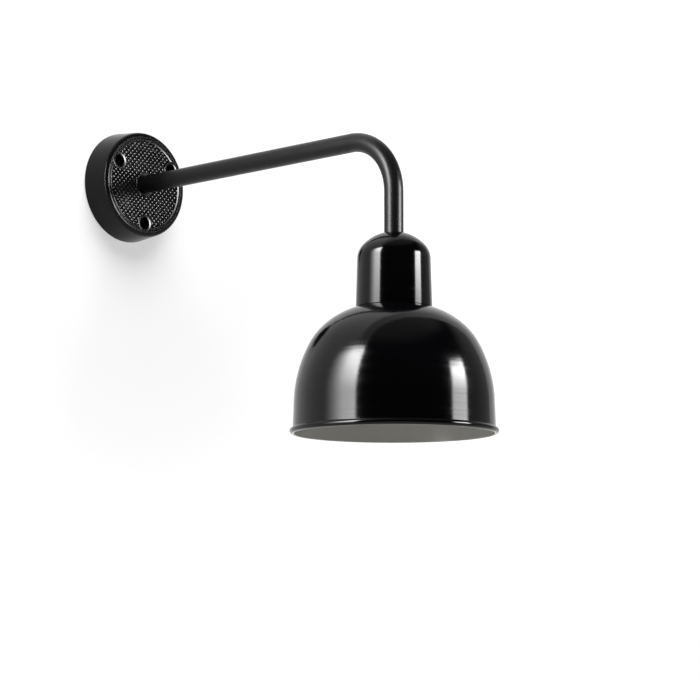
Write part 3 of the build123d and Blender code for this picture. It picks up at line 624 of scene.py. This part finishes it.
piece("shade_skin", shade, "fixture",
      [FINISHES["shade_enamel"], INSIDE_ENAMEL], ["shade_bowl"])


# ---------------------------------------------------------------- lamp

def bulb_side(inset):
    """Points of the bulb from its lowest point up to the cap, this far inside its face."""
    ball_r = BULB_R - inset
    neck_r = BULB_NECK_R - inset
    neck_z = Z_CAP_END - BULB_NECK_L
    rise = neck_z - Z_BULB
    hollow_r = (neck_r ** 2 + rise ** 2 - ball_r ** 2) / (2.0 * (ball_r - neck_r))
    join = math.degrees(math.atan2(rise, neck_r + hollow_r))
    return (arc((0.0, Z_BULB), ball_r, -90.0, join, steps=48)
            + arc((neck_r + hollow_r, neck_z), hollow_r, 180.0 + join, 180.0, steps=12)[1:]
            + [(neck_r, Z_CAP_END)])


bulb = turned(bulb_side(0.0) + bulb_side(BULB_GLASS_T)[::-1], BULB_SEGMENTS)
piece("lamp_bulb", bulb, "lamp", [FINISHES["opal_glass"]], ["lamp_glass"])


# ---------------------------------------------------------------- stage

def stage_plane(name, corners, material):
    """A flat four-cornered piece of the studio, which isn't part of the object."""
    mesh = bmesh.new()
    mesh.faces.new([mesh.verts.new(corner) for corner in corners])
    sheet = new_object(name, mesh)
    sheet.data.materials.append(material)
    return sheet


# How far from the base's middle the glow starts to change, and where it is done.
# # Nearer than this, the wall's lower glow is painted shade round the base.
PAINTED_SHADE_REACH = (0.15, 0.5)


def one_sided(name, grey, near_glow, far_glow):
    """A matt grey surface that keeps shadows, and lets the camera through from behind.

    It glows for the camera and in reflections, by near_glow close to the base and by far_glow
    away from it; a near_glow lower than far_glow is painted shade round the base.
    """
    colour = (grey, grey, grey, 1.0)
    material = bpy.data.materials.new(name)
    graph = Graph(material)
    seen = graph.light_path("Is Camera Ray")
    shown = seen + graph.light_path("Is Glossy Ray") + graph.light_path("Is Transmission Ray")
    # Less glow near the base than away from it paints shade round the base.
    away = graph.vector("LENGTH", graph.place(), output="Value").ramp(*PAINTED_SHADE_REACH)
    glow = away * (far_glow - near_glow) + near_glow
    behind = graph.node("ShaderNodeNewGeometry", output="Backfacing")
    matt = graph.node("ShaderNodeBsdfDiffuse", inputs={"Color": colour})
    light = graph.node("ShaderNodeEmission", inputs={"Color": colour, "Strength": shown * glow})
    lit = graph.node("ShaderNodeAddShader", inputs=(matt, light))
    clear = graph.node("ShaderNodeBsdfTransparent")
    graph.end(graph.node("ShaderNodeMixShader", inputs=(seen * behind, lit, clear)))
    return material


WALL_Y = 0.3 * MM
WALL_HALF = 3.0
FLOOR_Z = -1.1
# The wall glows less by the base than away from it: painted shade round the base.
wall = stage_plane("wall", [(-WALL_HALF, WALL_Y, FLOOR_Z), (WALL_HALF, WALL_Y, FLOOR_Z),
                            (WALL_HALF, WALL_Y, WALL_HALF), (-WALL_HALF, WALL_Y, WALL_HALF)],
                   one_sided("wall_paint", grey=0.62, near_glow=0.82, far_glow=1.2))
wall.visible_shadow = False
stage_plane("floor", [(-WALL_HALF, -WALL_HALF, FLOOR_Z), (WALL_HALF, -WALL_HALF, FLOOR_Z),
                      (WALL_HALF, WALL_HALF, FLOOR_Z), (-WALL_HALF, WALL_HALF, FLOOR_Z)],
            one_sided("floor_paint", grey=0.4, near_glow=1.8, far_glow=1.8))


def softbox(name, corner, width, rise, strength, fades, foot, lean=0.0):
    """A glowing screen that is seen only in its light and reflections, and can be seen through.

    It spans width and rise from its lower far corner. Its glow fades out over three parts of
    its size, at the far end, the near end and the top, which comes down by lean of the rise
    towards the near end. foot is the part of the glow left at the foot and where it is full.
    """
    material = bpy.data.materials.new(name)
    graph = Graph(material)
    corner, width, rise = Vector(corner), Vector(width), Vector(rise)
    facing = width.cross(rise)
    offset = graph.vector("SUBTRACT", graph.place(), tuple(corner))
    # For each side, the direction square to the other one, scaled to give 1 at the side's end.
    along, up = [graph.vector("DOT_PRODUCT", offset, tuple(square / square.dot(side)),
                              output="Value")
                 for side, square in ((width, rise.cross(facing)), (rise, facing.cross(width)))]
    far_fade, near_fade, top_fade = fades
    low_part, full_at = foot
    glow = (along.ramp(0.0, far_fade) * (1.0 - along.ramp(1.0 - near_fade, 1.0))
            * (1.0 - (up + along * lean).ramp(1.0 - top_fade, 1.0))
            * (up.ramp(0.0, full_at) * (1.0 - low_part) + low_part))
    light = graph.node("ShaderNodeEmission", inputs={"Strength": glow * strength})
    clear = graph.node("ShaderNodeBsdfTransparent")
    graph.end(graph.node("ShaderNodeAddShader", inputs=(light, clear)))
    corners = (corner, corner + width, corner + width + rise, corner + rise)
    screen = stage_plane(name, corners, material)
    screen.visible_camera = False
    screen.visible_diffuse = False


softbox("left_screen", corner=(-1.75, -0.372, -0.35), width=(1.34, 0.362, 0.0),
        rise=(0.0, 0.0, 2.0), strength=59.0, fades=(0.24, 0.35, 0.1), foot=(0.22, 0.5), lean=0.73)
softbox("right_screen", corner=(0.265, -1.347, -0.28), width=(0.36, 0.219, 0.0),
        rise=(0.12, 0.08, 0.66), strength=76.0, fades=(0.15, 0.15, 0.3), foot=(0.12, 1.0))


def area_light(name, location, tilt, size, energy):
    """A rectangular lamp that lights without being seen, tilted by degrees about the X axis."""
    light = bpy.data.lights.new(name, "AREA")
    light.shape = "RECTANGLE"
    light.size, light.size_y = size
    light.energy = energy
    lamp = bpy.data.objects.new(name, light)
    lamp.location = location
    lamp.rotation_euler = (math.radians(tilt), 0.0, 0.0)
    lamp.visible_camera = False
    lamp.visible_glossy = False
    bpy.context.scene.collection.objects.link(lamp)


area_light("top_light", location=(-0.35, -1.1, 1.35), tilt=35.0, size=(1.6, 1.4), energy=44.0)
# Through the wall, for the open back of the base.
area_light("back_light", location=(-0.2, 0.8, 0.4), tilt=-63.0, size=(0.6, 0.6), energy=7.0)

# ---------------------------------------------------------------- world

# The room's glow: all round for matt surfaces alone, and overhead, to the right and elsewhere
# for gloss too.
AMBIENT_GLOW = 0.06
OVERHEAD_GLOW = 0.3
RIGHT_GLOW = 0.4
LEAST_GLOW = 0.005
# Where each begins and is full, as the part of a ray's direction that goes that way.
OVERHEAD = (0.75, 0.9)
RIGHT = (0.6, 0.8)
WALLWARD = (-0.02, 0.05)

world = bpy.data.worlds.new("studio")
bpy.context.scene.world = world
air = Graph(world)
toward = air.node("ShaderNodeTexCoord", output="Generated")
side, depth, up = [air.node("ShaderNodeSeparateXYZ", inputs=(toward,), output=axis)
                   for axis in "XYZ"]
# White for the camera, and in reflections of what is past the edges of the wall.
mirrored = air.light_path("Is Glossy Ray") + air.light_path("Is Transmission Ray")
seen = air.light_path("Is Camera Ray") + mirrored * depth.ramp(*WALLWARD)
soft = (air.light_path("Is Diffuse Ray") * AMBIENT_GLOW + up.ramp(*OVERHEAD) * OVERHEAD_GLOW
        + side.ramp(*RIGHT) * RIGHT_GLOW + LEAST_GLOW)
air.end(air.node("ShaderNodeBackground",
                 inputs={"Color": (1.0, 1.0, 1.0, 1.0), "Strength": seen + (1.0 - seen) * soft}),
        "ShaderNodeOutputWorld")

# ---------------------------------------------------------------- camera

# Fitted to the outlines in the photo: metres, degrees, and millimetres for lens and sensor.
CAMERA_AT = (-1.534122, -1.755853, -0.457644)
CAMERA_YAW = -46.592
CAMERA_PITCH = 7.275
CAMERA_LENS = 122.63
CAMERA_SENSOR = 36.0

camera_data = bpy.data.cameras.new("photo_camera")
camera_data.sensor_width = CAMERA_SENSOR
camera_data.lens = CAMERA_LENS
camera_data.clip_start = 0.05
camera = bpy.data.objects.new("photo_camera", camera_data)
camera.location = CAMERA_AT
camera.rotation_euler = (math.radians(90.0 + CAMERA_PITCH), 0.0, math.radians(CAMERA_YAW))
bpy.context.scene.collection.objects.link(camera)
bpy.context.scene.camera = camera

bpy.context.scene.view_settings.view_transform = "Standard"
